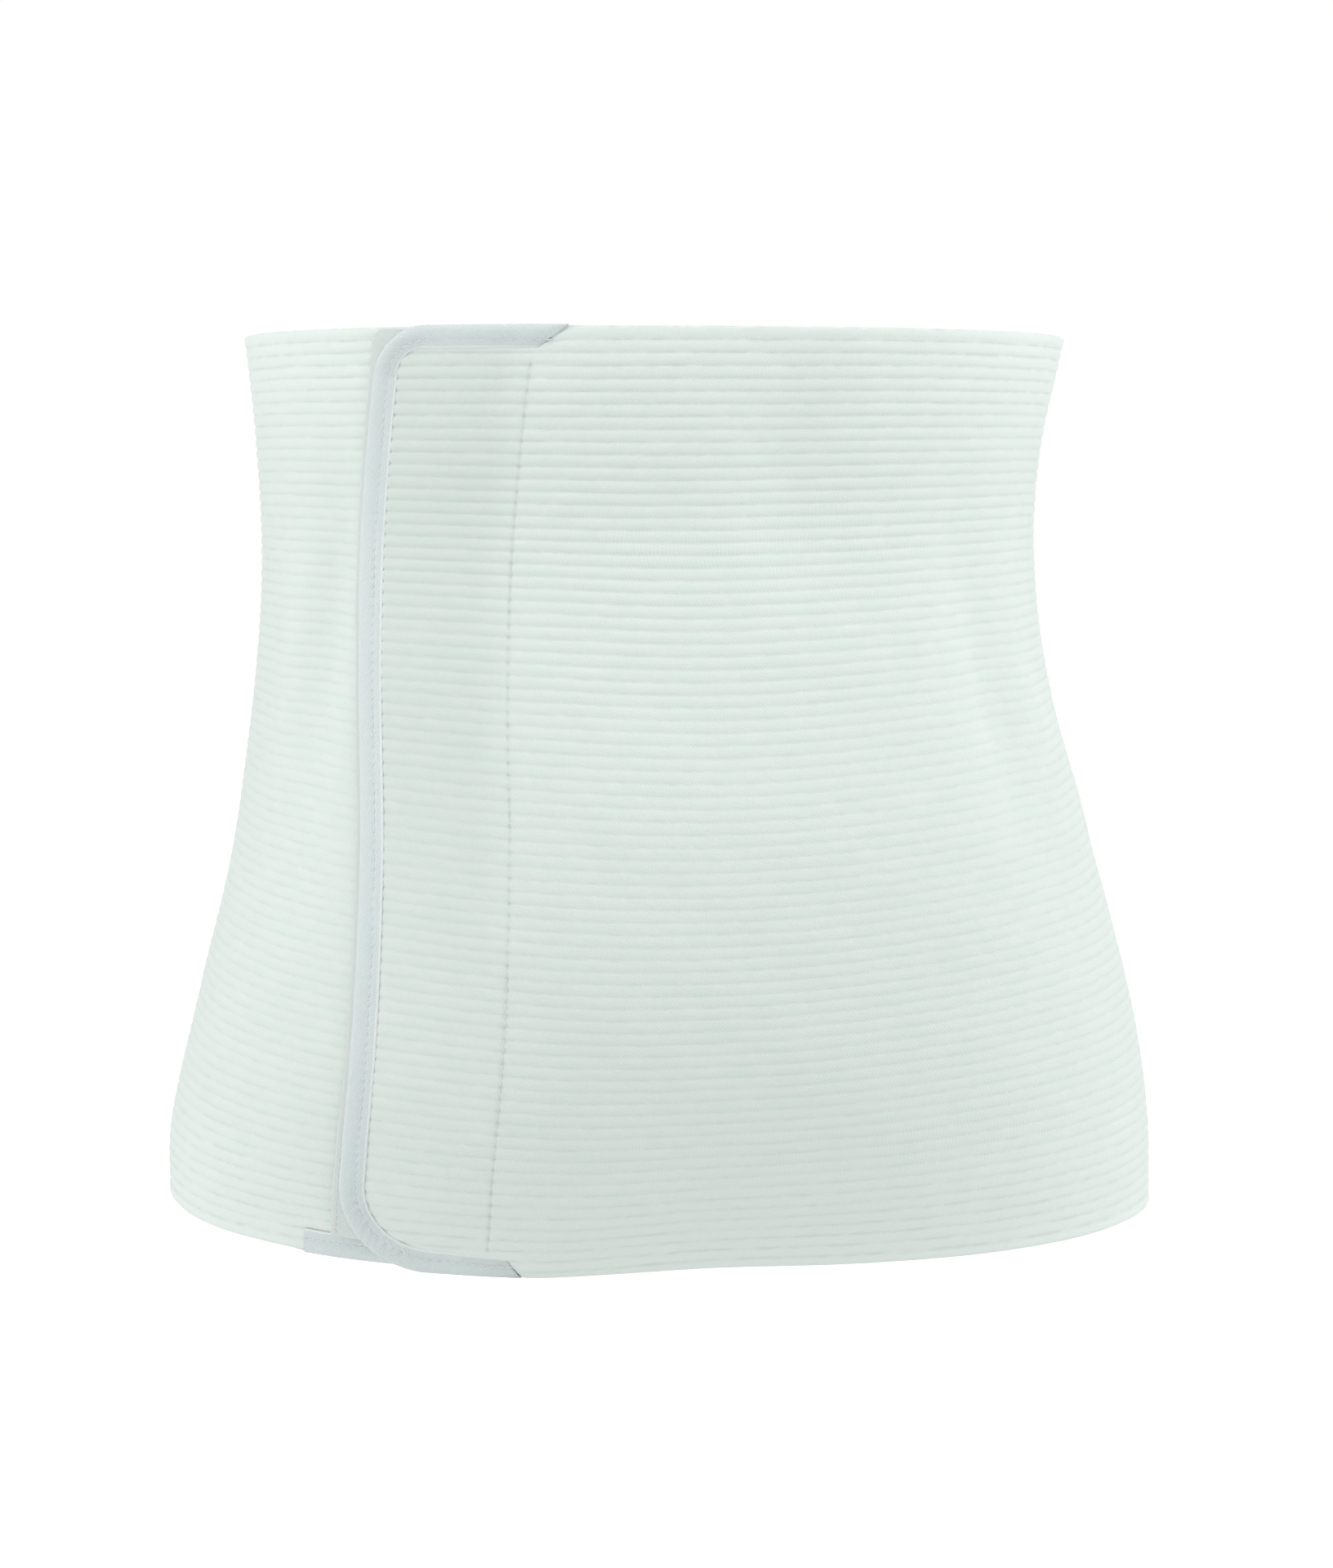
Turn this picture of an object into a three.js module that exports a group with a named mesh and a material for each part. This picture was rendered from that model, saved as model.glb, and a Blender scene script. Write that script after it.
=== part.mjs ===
import * as THREE from 'three';

// An abdominal binder of ribbed elastic, in the round form that it has when worn.
// Millimetres. The wearer's front faces -Y, +X is to the right of someone who faces the wearer, +Z is up.
// The origin is the middle of the body at the narrowest height of the waist.

// The elastic band
const panelHeight = 300;
const panelWall = 2;            // over its fine ribs

// The body that stretches it: the sizes are those of the band's inner face
const hipWidth = 336;
const hipDepth = 230;
const waistLevel = 231;         // height of the narrowest place over the lower edge
const bellySag = 6.5;           // how far its level lines sag on the front of the belly
const hipRide = 7;              // how far they ride up over the hips
const edgeRideLeft = 9;         // how far the lower edge rides up on the -X side, over that
const edgeRideRight = 4;        // and on the +X side

// The closing: arcs are measured along the body from the front middle line, towards -X
const flapEndArcTop = 94;
const flapEndArcHem = 109;
const overlap = 45;             // the flap covers the under end by this
const stripThickness = 1;
const stripReach = 3.8;         // the closing strip shows past the flap's end by this
const stripInset = 1.5;         // it stops this far short of the upper edge, and above the tape at the hem

// The tape that is folded over both ends, round their corners and a way along both long edges
const tapeWidth = 8;
const tapeThickness = 0.6;
const flapCornerTop = 15;
const flapCornerHem = 30;
const flapRunTop = 51;
const flapRunHem = 53;
const underCorner = 5;
const underRunTop = 30;
const underRunHem = 58;

const clearance = 0.6;          // between neighbouring layers
const foldGap = 1;              // between an end's edge and the fold of its tape
const marginSpare = 1;          // the flat margin goes on past the tape by this
const tuckFade = 2;             // length in which the band comes back to its full wall beside the tape
const climbLength = 66;         // length in which the flap climbs onto the under end

// Sections of the body. up is a share of the panel's height, width and shift are shares of the hip
// width, and front and back are shares of the hip depth.
const sections = [
  { up: 0.00, width: 0.998, front: 0.435, back: 0.445, shift: 0.004 },
  { up: 0.10, width: 0.996, front: 0.500, back: 0.490, shift: 0.003 },
  { up: 0.26, width: 0.942, front: 0.545, back: 0.485, shift: 0.006 },
  { up: 0.44, width: 0.866, front: 0.535, back: 0.440, shift: 0.003 },
  { up: 0.62, width: 0.804, front: 0.480, back: 0.405, shift: -0.007 },
  { up: 0.77, width: 0.784, front: 0.440, back: 0.395, shift: -0.011 },
  { up: 0.88, width: 0.798, front: 0.440, back: 0.410, shift: -0.009 },
  { up: 1.00, width: 0.832, front: 0.455, back: 0.430, shift: -0.003 },
];
const planSquare = 2.35;        // the power of the plan's curve: 2 is an ellipse, and more is boxier

// Dents and ridges. turn is in degrees from the front middle towards -X, up and tall are shares of the
// panel's height, wide is in degrees, and out is a share of the hip depth.
const dents = [
  { turn: 57, up: 0.68, wide: 4, tall: 0.17, out: -0.018 },
  { turn: 63.5, up: 0.63, wide: 5, tall: 0.12, out: 0.012 },
  { turn: -53, up: 0.62, wide: 5, tall: 0.15, out: -0.018 },
  { turn: -60, up: 0.58, wide: 5, tall: 0.12, out: 0.012 },
  { turn: -21, up: 0.87, wide: 9, tall: 0.13, out: -0.018 },
];

const marginShares = [0, 0.22, 0.38, 0.66, 1];  // rows across a taped margin, as shares of its width
const tapeShares = [1, 0.5];    // places across a tape from its inner border, as shares of its width
const cornerSteps = 8;          // places round a corner of the tape
const bodyRows = 18;            // rows between the taped margins
const climbShares = [1, 0.75, 0.5, 0.25];  // columns in the climb, as shares of its length from its end
const longWayColumns = 32;      // columns on the long way round the back
const sideCrowding = 0.04;      // draws those columns together at both sides, where the body curves most
const ringSteps = 360;

const tapeTuck = tapeThickness + clearance;
const marginWidth = tapeWidth + marginSpare;
const layerTop = panelWall + tapeTuck;
const stripLift = layerTop + clearance;
const flapLift = stripLift + stripThickness + clearance;

const cottonWhite = 0xe6eeec;
const tapeWhite = 0xd8e2e5;
const stripWhite = 0xeef3f1;

// Body surface

const sectionColumns = ['width', 'front', 'back', 'shift'];
const sectionCurve = new THREE.CubicInterpolant(
  sections.map((row) => row.up),
  sections.flatMap((row) => sectionColumns.map((column) => row[column])),
  sectionColumns.length,
);

function sectionAt(up) {
  const [width, front, back, shift] = sectionCurve.evaluate(up);
  return {
    halfWidth: width * hipWidth / 2,
    front: front * hipDepth,
    back: back * hipDepth,
    shift: shift * hipWidth,
  };
}

function dentAt(turn, up) {
  let out = 0;
  for (const dent of dents) {
    const across = THREE.MathUtils.radToDeg(turn) - dent.turn;
    const nearest = across - 360 * Math.round(across / 360);
    const along = (up - dent.up) / dent.tall;
    out += dent.out * hipDepth * Math.exp(-((nearest / dent.wide) ** 2) - along ** 2);
  }
  return out;
}

// turn is the angle from the front middle towards -X
function bodyPoint(turn, up) {
  const section = sectionAt(up);
  const across = Math.sin(turn);
  const ahead = Math.cos(turn);
  const depth = ahead > 0 ? section.front : section.back;
  const aside = (Math.abs(across) / section.halfWidth) ** planSquare;
  const shrink = aside + (Math.abs(ahead) / depth) ** planSquare;
  const reach = shrink ** (-1 / planSquare) + dentAt(turn, up);
  return new THREE.Vector3(section.shift - across * reach, -ahead * reach, up * panelHeight - waistLevel);
}

function bodyNormal(turn, up) {
  const step = 0.01;
  const along = bodyPoint(turn + step, up).sub(bodyPoint(turn - step, up));
  const rise = bodyPoint(turn, up + step).sub(bodyPoint(turn, up - step));
  return rise.cross(along).normalize();
}

// Arc lengths round the body at one row, so that places on the cloth are real lengths

const rings = new Map();

function ringAt(down) {
  if (!rings.has(down)) {
    const up = 1 - down / panelHeight;
    const arcs = [0];
    let last = bodyPoint(0, up);
    for (let step = 1; step <= ringSteps; step += 1) {
      const next = bodyPoint(2 * Math.PI * step / ringSteps, up);
      arcs.push(arcs[step - 1] + next.distanceTo(last));
      last = next;
    }
    rings.set(down, arcs);
  }
  return rings.get(down);
}

function girthAt(down) {
  return ringAt(down)[ringSteps];
}

function turnAt(arc, down) {
  const arcs = ringAt(down);
  const rest = THREE.MathUtils.euclideanModulo(arc, girthAt(down));
  const after = arcs.findIndex((length) => length > rest);
  const share = (rest - arcs[after - 1]) / (arcs[after] - arcs[after - 1]);
  return 2 * Math.PI * (after - 1 + share) / ringSteps;
}

// Edges of the flap and of the under end, as arcs at a distance down from the upper edge

// How far a rounded corner draws an edge in, at a distance from the edge that it meets
function cornerInset(radius, distance) {
  const reach = radius - THREE.MathUtils.clamp(distance, 0, radius);
  return radius - Math.sqrt(radius ** 2 - reach ** 2);
}

function flapLine(down) {
  return THREE.MathUtils.lerp(flapEndArcTop, flapEndArcHem, down / panelHeight);
}

function flapEdge(down) {
  return flapLine(down) - cornerInset(flapCornerTop, down) - cornerInset(flapCornerHem, panelHeight - down);
}

// The taped margin's inner border, a millimetre past the tape's own
function flapMargin(down) {
  const fromTop = cornerInset(flapCornerTop - tapeWidth, down - marginWidth);
  const fromHem = cornerInset(flapCornerHem - tapeWidth, panelHeight - down - marginWidth);
  return flapLine(down) - marginWidth - fromTop - fromHem;
}

function flapRunStart(down) {
  return flapLine(down) - THREE.MathUtils.lerp(flapRunTop, flapRunHem, down / panelHeight) - marginSpare;
}

function underLine(down) {
  return flapLine(down) - overlap;
}

// Where the flap has climbed onto the under end, just before its own tape begins
function flapClimbEnd(down) {
  return Math.min(underLine(down), flapRunStart(down)) - 2 * tapeTuck;
}

function underEdge(down) {
  return underLine(down) + cornerInset(underCorner, down) + cornerInset(underCorner, panelHeight - down);
}

// The net of columns and rows that every layer shares, so that all their faces lie parallel

// Column places from the under tape's lower run round the back to the start of the flap's climb
const longWayShares = Array.from({ length: longWayColumns }, (none, index) => {
  const even = (index + 1) / (longWayColumns + 1);
  return even + sideCrowding * Math.sin(4 * Math.PI * even);
});

const netColumns = [
  'flapRunFade', 'flapRunStart', 'underEdge', 'middle', 'marginFade', 'margin', 'flapEdge',
  'beside', 'stripEdge', 'underRunEnd', 'underRunFade', ...longWayShares, ...climbShares,
];

function netArcs(down) {
  const runEnd = underLine(down) + underRunHem + marginSpare;
  const stripEdge = flapLine(down) + stripReach;
  const start = runEnd + tuckFade;
  const climbEnd = girthAt(down) + flapClimbEnd(down);
  return [
    flapRunStart(down) - tuckFade,
    flapRunStart(down),
    underEdge(down),
    (underEdge(down) + flapMargin(down) - tuckFade) / 2,
    flapMargin(down) - tuckFade,
    flapMargin(down),
    flapEdge(down),
    (flapEdge(down) + stripEdge) / 2,
    stripEdge,
    runEnd,
    start,
    ...longWayShares.map((share) => THREE.MathUtils.lerp(start, climbEnd - climbLength, share)),
    ...climbShares.map((share) => climbEnd - share * climbLength),
  ];
}

// Distances of the rows down from the upper edge, the same at both long edges
function netDowns() {
  const first = marginWidth + 3 * tuckFade;
  const edge = [...marginShares.map((share) => share * marginWidth), marginWidth + tuckFade, first];
  const body = [];
  for (let step = 1; step < bodyRows; step += 1) {
    body.push(THREE.MathUtils.lerp(first, panelHeight - first, step / bodyRows));
  }
  return [...edge, ...body, ...edge.map((down) => panelHeight - down).reverse()];
}

// How far a place of the cloth lies under its level
function sagAt(turn, down) {
  const share = THREE.MathUtils.clamp(down / panelHeight, 0, 1);
  const ahead = Math.max(0, Math.cos(turn)) ** 2;
  const belly = bellySag * Math.sin(Math.PI * share) * ahead;
  const hips = hipRide * Math.sin(Math.PI * share ** 2) * (1 - ahead);
  const side = Math.sin(turn);
  const edgeRide = side > 0 ? edgeRideLeft : edgeRideRight;
  return belly - hips - edgeRide * share ** 3 * side ** 6;
}

function netKnot(arc, down) {
  const turn = turnAt(arc, down);
  const up = 1 - (down + sagAt(turn, down)) / panelHeight;
  return { point: bodyPoint(turn, up), normal: bodyNormal(turn, up) };
}

const net = netDowns().map((down) => {
  const arcs = netArcs(down);
  return { down, arcs, girth: girthAt(down), knots: arcs.map((arc) => netKnot(arc, down)) };
});

// Column numbers go on past the last one into the next turn round the body
function columnArc(netRow, column) {
  const count = netColumns.length;
  const turns = Math.floor(column / count);
  return netRow.arcs[column - turns * count] + turns * netRow.girth;
}

function liftedKnot(netRow, column, lift) {
  const knot = netRow.knots[THREE.MathUtils.euclideanModulo(column, netColumns.length)];
  return knot.point.clone().addScaledVector(knot.normal, lift);
}

function columnOf(name) {
  return netColumns.indexOf(name);
}

// A place on the net: arc along the body, down from the upper edge, lift out from the body
function clothPoint(arc, down, lift) {
  const below = net.findIndex((netRow) => netRow.down > down);
  const lower = below < 0 ? net.length - 1 : below;
  const rows = [net[lower - 1], net[lower]];
  const rowShare = (down - rows[0].down) / (rows[1].down - rows[0].down);
  const arcAt = (column) => THREE.MathUtils.lerp(
    columnArc(rows[0], column),
    columnArc(rows[1], column),
    rowShare,
  );
  let right = 1;
  while (arcAt(right) < arc) {
    right += 1;
  }
  const share = (arc - arcAt(right - 1)) / (arcAt(right) - arcAt(right - 1));
  const [upper, under] = rows.map(
    (netRow) => liftedKnot(netRow, right - 1, lift).lerp(liftedKnot(netRow, right, lift), share),
  );
  return upper.lerp(under, rowShare);
}

// Mesh building

function meshFrom(name, vertices, triangles, colour, roughness) {
  const geometry = new THREE.BufferGeometry();
  const positions = vertices.flatMap((vertex) => vertex.toArray());
  geometry.setAttribute('position', new THREE.Float32BufferAttribute(positions, 3));
  geometry.setIndex(triangles);
  geometry.computeVertexNormals();
  const material = new THREE.MeshStandardMaterial({ color: colour, roughness, metalness: 0 });
  const mesh = new THREE.Mesh(geometry, material);
  mesh.name = name;
  return mesh;
}

function addGrid(vertices, rows) {
  return rows.map((row) => row.map((point) => vertices.push(point) - 1));
}

function addQuad(triangles, a, b, c, d) {
  triangles.push(a, b, c, a, c, d);
}

// A closed sheet between two faces, given as rows of points with the same rows and columns
function sheetMesh(name, outerRows, innerRows, colour, roughness) {
  const vertices = [];
  const triangles = [];
  const outer = addGrid(vertices, outerRows);
  const inner = addGrid(vertices, innerRows);
  const [hem, end] = [outer.length - 1, outer[0].length - 1];
  for (let row = 1; row <= hem; row += 1) {
    const above = row - 1;
    for (let column = 1; column <= end; column += 1) {
      const left = column - 1;
      addQuad(triangles, outer[above][left], outer[above][column], outer[row][column], outer[row][left]);
      addQuad(triangles, inner[above][left], inner[row][left], inner[row][column], inner[above][column]);
    }
    addQuad(triangles, outer[above][0], outer[row][0], inner[row][0], inner[above][0]);
    addQuad(triangles, outer[above][end], inner[above][end], inner[row][end], outer[row][end]);
  }
  for (let column = 1; column <= end; column += 1) {
    const left = column - 1;
    addQuad(triangles, outer[0][column], outer[0][left], inner[0][left], inner[0][column]);
    addQuad(triangles, outer[hem][left], outer[hem][column], inner[hem][column], inner[hem][left]);
  }
  return meshFrom(name, vertices, triangles, colour, roughness);
}

// The elastic band, from the under end round the back to the flap's end

const firstColumn = columnOf('underEdge');
const lastColumn = netColumns.length + columnOf('flapEdge');

// Whether the tape covers a place of the band, which is pressed thin there
function isTaped(column, down) {
  const atTop = down <= marginWidth;
  const atHem = down >= panelHeight - marginWidth;
  const flapColumn = column - netColumns.length;
  const underEnd = column <= columnOf('middle');
  const underTop = atTop && column <= columnOf('flapEdge');
  const underHem = atHem && column <= columnOf('underRunEnd');
  const flapEnd = flapColumn >= columnOf('margin');
  const flapRun = (atTop || atHem) && flapColumn >= columnOf('flapRunStart');
  return underEnd || underTop || underHem || flapEnd || flapRun;
}

// How far the band's inner face stands off the body
function bandLift(netRow, column) {
  const climbEnd = netRow.girth + flapClimbEnd(netRow.down);
  return flapLift * THREE.MathUtils.smoothstep(columnArc(netRow, column), climbEnd - climbLength, climbEnd);
}

function makePanel() {
  const columns = [];
  for (let column = firstColumn; column <= lastColumn; column += 1) {
    columns.push(column);
  }
  const face = (wallAt) => net.map((netRow) => columns.map(
    (column) => liftedKnot(netRow, column, bandLift(netRow, column) + wallAt(column, netRow.down)),
  ));
  const outer = face(() => panelWall);
  const inner = face((column, down) => (isTaped(column, down) ? tapeTuck : 0));
  return sheetMesh('elastic_panel', outer, inner, cottonWhite, 0.95);
}

// The closing strip between the flap and the under end
function makeHookStrip() {
  const shared = ['middle', 'marginFade', 'margin', 'flapEdge', 'beside', 'stripEdge'].map(columnOf);
  const rows = net.filter(({ down }) => down <= panelHeight - marginWidth);
  const face = (lift) => rows.map((netRow) => {
    const down = Math.max(netRow.down, stripInset);
    const arcs = [
      columnArc(netRow, columnOf('underEdge')) + tuckFade,
      ...shared.map((column) => columnArc(netRow, column)),
    ];
    return arcs.map((arc) => clothPoint(arc, down, lift));
  });
  return sheetMesh('hook_strip', face(stripLift + stripThickness), face(stripLift), stripWhite, 0.8);
}

// The path of a tape along one end of the band: places on the edge with the direction into the cloth.
// side is 1 on the flap's end and -1 on the under end, whose cloth lies on the other side of its edge.
// room is the share of the tape's width that a corner leaves it, where its two legs meet in a mitre.
function tapePath(line, side, topCorner, hemCorner, topRun, hemRun) {
  const path = [];
  const add = (inset, down, inward, downward, depth) => path.push({
    arc: line(down) - side * inset,
    down,
    inArc: -side * inward,
    inDown: downward,
    room: Math.min(1, (depth - marginSpare) / tapeWidth),
  });
  const quarter = (step) => Math.PI / 2 * step / cornerSteps;
  // Insets along a long edge, from the run's end to the corner, with a place where each column
  // crosses the tape's two borders
  const runInsets = (netRows, run, corner) => {
    const insets = [run];
    const crossings = netRows.flatMap((netRow) => netRow.arcs.map((arc) => side * (line(netRow.down) - arc)));
    for (const inset of crossings.sort((a, b) => b - a)) {
      if (inset < insets[insets.length - 1] - tuckFade && inset > corner + tuckFade) {
        insets.push(inset);
      }
    }
    return insets;
  };
  const innerRow = marginShares.length - 1;
  const hemRow = net.length - 1;
  for (const inset of runInsets([net[0], net[innerRow]], topRun, topCorner)) {
    add(inset, 0, 0, 1, inset);
  }
  for (let step = 0; step <= cornerSteps; step += 1) {
    const [sine, cosine] = [Math.sin(quarter(step)), Math.cos(quarter(step))];
    add(topCorner * (1 - sine), topCorner * (1 - cosine), sine, cosine, topCorner);
  }
  for (const { down } of net) {
    if (down > topCorner + tuckFade && down < panelHeight - hemCorner - tuckFade) {
      add(0, down, 1, 0, Math.min(down, panelHeight - down));
    }
  }
  for (let step = 0; step <= cornerSteps; step += 1) {
    const [sine, cosine] = [Math.sin(quarter(step)), Math.cos(quarter(step))];
    add(hemCorner * (1 - cosine), panelHeight - hemCorner * (1 - sine), cosine, -sine, hemCorner);
  }
  for (const inset of runInsets([net[hemRow], net[hemRow - innerRow]], hemRun, hemCorner).reverse()) {
    add(inset, panelHeight, 0, -1, inset);
  }
  return path;
}

// Tape folded over the edge: two legs and the fold between them, swept along the path
function makeTape(name, path, lift, side) {
  const outerLeg = lift + panelWall + clearance;
  const outside = outerLeg + tapeThickness;
  const fold = foldGap + tapeThickness;
  const face = (inset, out) => [...tapeShares.map((share) => [share * tapeWidth, out]), [-inset, out]];
  const profile = [
    ...face(fold, outside), ...face(fold, lift).reverse(),
    ...face(foldGap, lift + tapeThickness), ...face(foldGap, outerLeg).reverse(),
  ];
  const onEnd = (place, inward, out) => clothPoint(
    place.arc + inward * place.inArc,
    place.down + inward * place.inDown,
    out,
  );
  // The fold stands past the edge, straight on from the cloth inside it
  const profilePoint = (place, inward, out) => (
    inward < 0
      ? onEnd(place, 0, out).lerp(onEnd(place, 1, out), inward)
      : onEnd(place, inward * place.room, out)
  );
  const vertices = [];
  const triangles = [];
  const loops = addGrid(vertices, path.map(
    (place) => profile.map(([inward, out]) => profilePoint(place, inward, out)),
  ));
  const addFace = (corners) => addQuad(triangles, ...(side < 0 ? corners.reverse() : corners));
  for (let place = 1; place < loops.length; place += 1) {
    for (let corner = 0; corner < profile.length; corner += 1) {
      const next = (corner + 1) % profile.length;
      addFace([loops[place - 1][corner], loops[place - 1][next], loops[place][next], loops[place][corner]]);
    }
  }
  const last = profile.length - 1;
  for (let corner = 0; 2 * corner + 2 < profile.length; corner += 1) {
    const cap = [corner, corner + 1, last - corner - 1, last - corner];
    addFace(cap.map((place) => loops[0][place]).reverse());
    addFace(cap.map((place) => loops[loops.length - 1][place]));
  }
  return meshFrom(name, vertices, triangles, tapeWhite, 0.85);
}

const group = new THREE.Group();
const flapPath = tapePath(flapLine, 1, flapCornerTop, flapCornerHem, flapRunTop, flapRunHem);
const underPath = tapePath(underLine, -1, underCorner, underCorner, underRunTop, underRunHem);
group.add(makePanel());
group.add(makeHookStrip());
group.add(makeTape('flap_end_binding', flapPath, flapLift, 1));
group.add(makeTape('under_end_binding', underPath, 0, -1));

export default group;
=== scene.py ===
import math

import bpy
import numpy as np
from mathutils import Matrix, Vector


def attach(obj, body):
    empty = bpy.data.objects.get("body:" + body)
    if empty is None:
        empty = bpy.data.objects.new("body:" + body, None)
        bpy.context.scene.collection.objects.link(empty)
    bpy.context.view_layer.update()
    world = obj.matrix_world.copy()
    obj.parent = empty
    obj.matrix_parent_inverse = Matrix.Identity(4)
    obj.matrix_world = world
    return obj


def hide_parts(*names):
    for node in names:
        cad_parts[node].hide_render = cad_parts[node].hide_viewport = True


# An abdominal binder in the round form that it has when worn. Sizes are in millimetres and become
# metres in the meshes. The wearer's front faces -Y, +Z is up, and the origin is the middle of the waist.

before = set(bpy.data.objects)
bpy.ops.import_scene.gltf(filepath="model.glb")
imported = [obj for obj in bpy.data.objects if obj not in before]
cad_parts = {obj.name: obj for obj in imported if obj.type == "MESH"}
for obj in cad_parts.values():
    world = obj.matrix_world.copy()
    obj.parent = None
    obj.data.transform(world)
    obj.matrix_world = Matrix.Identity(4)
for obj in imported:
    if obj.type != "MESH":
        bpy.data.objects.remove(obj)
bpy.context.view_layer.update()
print("frame loaded:", sorted(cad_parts))

metre = 0.001  # one millimetre
scene = bpy.context.scene


# Camera

cameraSet = {
    "place": (-77.6, -1152.4, 18.0),
    "turn": -4.0,  # degrees about the upright axis
    "lens": 76.01,  # millimetres, for a 36 mm long side
    "shiftY": -0.190,
}


def makeCamera():
    data = bpy.data.cameras.new("camera")
    data.sensor_width = 36
    data.lens = cameraSet["lens"]
    data.shift_y = cameraSet["shiftY"]
    data.clip_start = 0.01
    data.clip_end = 60
    camera = bpy.data.objects.new("camera", data)
    camera.location = Vector(cameraSet["place"]) * metre
    camera.rotation_euler = (math.radians(90), 0, math.radians(cameraSet["turn"]))
    scene.collection.objects.link(camera)
    scene.camera = camera


makeCamera()
print("camera ready")


# The body that holds the binder in its round form. Places on the cloth are given by arc, the length
# round the body from the front middle towards -X, down from the upper edge, and lift out from the body.

body = {
    "height": 300.0,
    "hipWidth": 336.0,
    "hipDepth": 230.0,
    "waistLevel": 231.0,  # height of the narrowest place over the lower edge
    "bellySag": 6.5,  # how far the level lines sag on the front
    "hipRide": 7.0,  # how far they ride up over the hips
    "edgeRideLeft": 9.0,  # how far the lower edge rides up at the sides, over that
    "edgeRideRight": 2.4,
    "planSquare": 2.35,  # 2 is an oval, and more is squarer
    "turnSteps": 720,  # of the table that turns arcs into angles
    "arcSteps": 1440,
    # up, then width and shift as shares of the hip width, front and back as shares of the hip depth
    "sections": [
        (0.00, 0.998, 0.435, 0.445, 0.004),
        (0.10, 0.996, 0.500, 0.490, 0.003),
        (0.26, 0.942, 0.545, 0.485, 0.006),
        (0.44, 0.866, 0.535, 0.440, 0.003),
        (0.62, 0.804, 0.480, 0.405, -0.007),
        (0.77, 0.784, 0.440, 0.395, -0.011),
        (0.88, 0.798, 0.440, 0.410, -0.009),
        (1.00, 0.832, 0.455, 0.430, -0.003),
    ],
    # turn in degrees towards -X, up, wide in degrees, tall, out as a share of the hip depth
    "dents": [
        (57, 0.68, 4, 0.17, -0.018),
        (63.5, 0.63, 5, 0.12, 0.012),
        (-53, 0.62, 5, 0.15, -0.018),
        (-60, 0.58, 5, 0.12, 0.012),
        (-21, 0.87, 9, 0.13, -0.018),
    ],
}
height = body["height"]

# The closing at the front
closing = {
    "tapeWidth": 8.0,
    "topShare": 0.78,  # of the tape's width that shows along the upper edge
    "releaseSlope": 4.0,  # how steeply its press on the band ends past its own ends
    "climbLength": 66.0,  # length in which the flap climbs onto the under end
    "climbSpare": 3.4,  # how far before its tape it has climbed
    "flapLift": 5.4,
    "stripLift": 3.8,
    "stripThick": 1.0,
    "stripReach": 3.4,  # how far the strip shows past the flap
    "stripInset": 0.2,
    "stripInsetHem": 9.0,
}

# The band's two taped ends. A run is the tape's length along a long edge, from the end.
flapEnd = {
    "side": 1,
    "arcs": (94.0, 109.0),  # at the upper edge and at the hem
    "cornerTop": 15.0,
    "cornerHem": 30.0,
    "runTop": 51.0,
    "runHem": 53.0,
    "slantTop": 9.0,  # how much further the tape's fold goes than its inner border
    "slantHem": 5.0,
    "hemRise": 2.0,  # how far the tape draws the hem up at the corner
    "riseLost": 0.5,  # share of it that is gone where the tape ends
    "flatOut": 1.72,  # the tape's height at its ends
}
underEnd = {
    "side": -1,
    "overlap": 45.0,  # how far the flap covers this end
    "cornerTop": 5.0,
    "cornerHem": 5.0,
    "runTop": 30.0,
    "runHem": 58.0,
    "slantTop": 0.0,
    "slantHem": 0.0,
    "hemRise": 0.0,
    "riseLost": 0.0,
    "flatOut": 2.2,
}


def smoothStep(low, high, value):
    share = np.clip((value - low) / (high - low), 0, 1)
    return share * share * (3 - 2 * share)


def blendOf(first, last, share):
    return first + (last - first) * share


def sectionAt(up):
    table = np.array(body["sections"])
    knots, rows = table[:, 0], table[:, 1:]
    up = np.clip(up, 0, 1)
    place = np.clip(np.searchsorted(knots, up, side="right") - 1, 0, len(knots) - 2)
    slopes = np.diff(rows, axis=0) / np.diff(knots)[:, None]
    ends = np.concatenate([slopes[:1], (slopes[:-1] + slopes[1:]) / 2, slopes[-1:]])
    span = (knots[place + 1] - knots[place])[..., None]
    p = (up - knots[place])[..., None] / span
    q = 1 - p
    value = rows[place] * (1 + 2 * p) * q * q + rows[place + 1] * p * p * (3 - 2 * p)
    value += span * (ends[place] * p * q * q - ends[place + 1] * p * p * q)
    width, front, back, shift = np.moveaxis(value, -1, 0)
    hipWidth, hipDepth = body["hipWidth"], body["hipDepth"]
    return width * hipWidth / 2, front * hipDepth, back * hipDepth, shift * hipWidth


def dentAt(turn, up):
    out = 0
    for dentTurn, dentUp, wide, tall, depth in body["dents"]:
        across = np.degrees(turn) - dentTurn
        across = across - 360 * np.round(across / 360)
        out = out + depth * body["hipDepth"] * np.exp(-((across / wide) ** 2) - ((up - dentUp) / tall) ** 2)
    return out


def bodyPoint(turn, up):
    halfWidth, front, back, shift = sectionAt(up)
    across, ahead = np.sin(turn), np.cos(turn)
    depth = np.where(ahead > 0, front, back)
    power = body["planSquare"]
    reach = ((np.abs(across) / halfWidth) ** power + (np.abs(ahead) / depth) ** power) ** (-1 / power)
    reach = reach + dentAt(turn, up)
    level = up * height - body["waistLevel"] + 0 * reach
    return np.stack([shift - across * reach, -ahead * reach, level], axis=-1)


def bodyNormal(turn, up):
    step = 0.01
    along = bodyPoint(turn + step, up) - bodyPoint(turn - step, up)
    rise = bodyPoint(turn, up + step) - bodyPoint(turn, up - step)
    normal = np.cross(rise, along)
    return normal / np.linalg.norm(normal, axis=-1, keepdims=True)


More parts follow.
